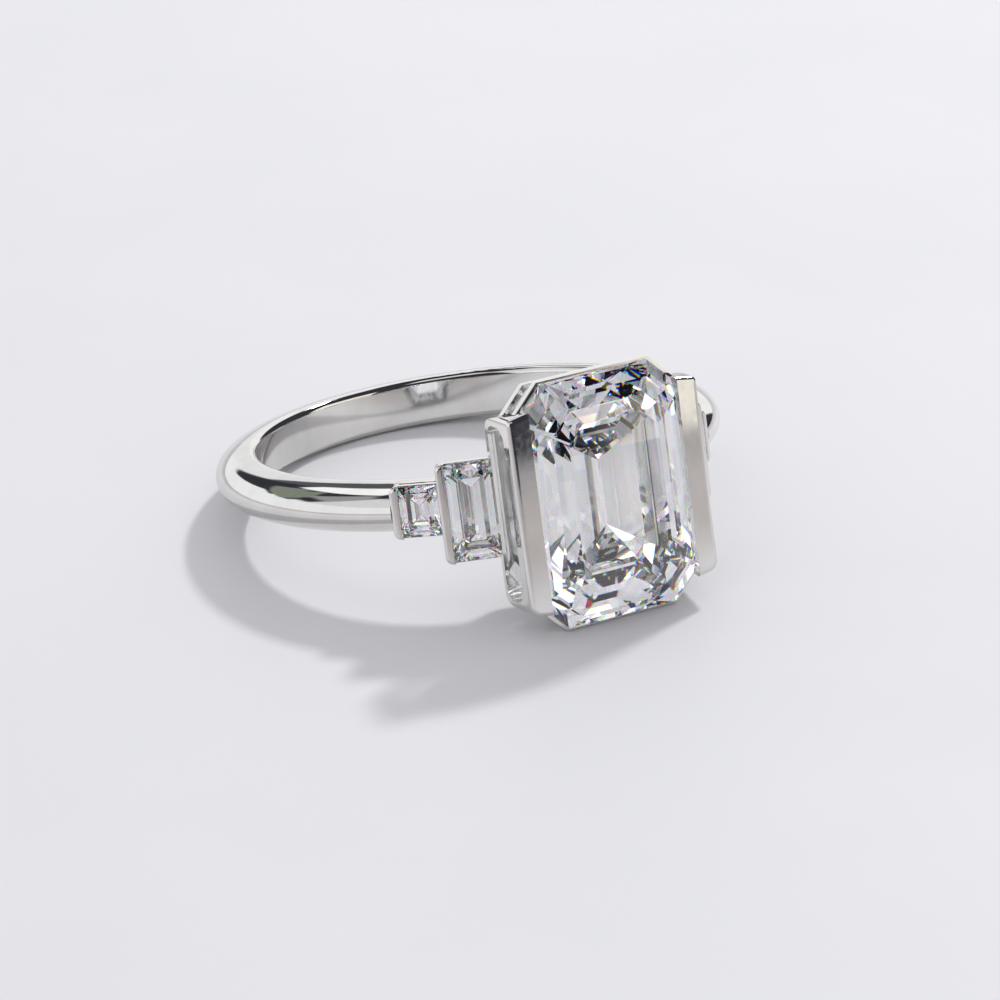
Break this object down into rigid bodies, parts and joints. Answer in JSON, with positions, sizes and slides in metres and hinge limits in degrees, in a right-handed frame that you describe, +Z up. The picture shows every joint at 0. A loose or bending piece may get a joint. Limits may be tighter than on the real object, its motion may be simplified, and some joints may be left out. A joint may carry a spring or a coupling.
{
  "type": "engagement ring",
  "caption": "Step-cut stone between two flat bars, with baguette stones stepping down each shoulder to a plain rounded band.",
  "frame": {"origin": "centre of the finger hole: on its axis, midway across the width of the band", "axes": "+Z up from the table the ring lies on; the head is at -Y and the plain back of the band at +Y; X runs across the head. The ring lies on its side, leaning on the lower end of its head, so the axis of the finger hole is tipped 10.77 degrees from +Z towards +Y"},
  "size_m": [0.02, 0.0229, 0.0095],
  "materials": {
    "platinum": "high polish",
    "diamond": "polished facets"
  },
  "bodies": {
    "root": {"band": "platinum", "centre_stone": "diamond", "head_base": "platinum", "left_head_wall": "platinum", "left_large_inner_bar": "platinum", "left_large_lower_gallery_rail": "platinum", "left_large_lower_girdle_rail": "platinum", "left_large_outer_bar": "platinum", "left_large_stone": "diamond", "left_large_upper_gallery_rail": "platinum", "left_large_upper_girdle_rail": "platinum", "left_lower_strut": "platinum", "left_small_lower_gallery_rail": "platinum", "left_small_lower_girdle_rail": "platinum", "left_small_outer_bar": "platinum", "left_small_stone": "diamond", "left_small_upper_gallery_rail": "platinum", "left_small_upper_girdle_rail": "platinum", "left_upper_strut": "platinum", "lower_gallery_rail": "platinum", "lower_girdle_rail": "platinum", "right_head_wall": "platinum", "right_large_inner_bar": "platinum", "right_large_lower_gallery_rail": "platinum", "right_large_lower_girdle_rail": "platinum", "right_large_outer_bar": "platinum", "right_large_stone": "diamond", "right_large_upper_gallery_rail": "platinum", "right_large_upper_girdle_rail": "platinum", "right_lower_strut": "platinum", "right_small_lower_gallery_rail": "platinum", "right_small_lower_girdle_rail": "platinum", "right_small_outer_bar": "platinum", "right_small_stone": "diamond", "right_small_upper_gallery_rail": "platinum", "right_small_upper_girdle_rail": "platinum", "right_upper_strut": "platinum", "upper_gallery_rail": "platinum", "upper_girdle_rail": "platinum"}
  },
  "joints": []
}
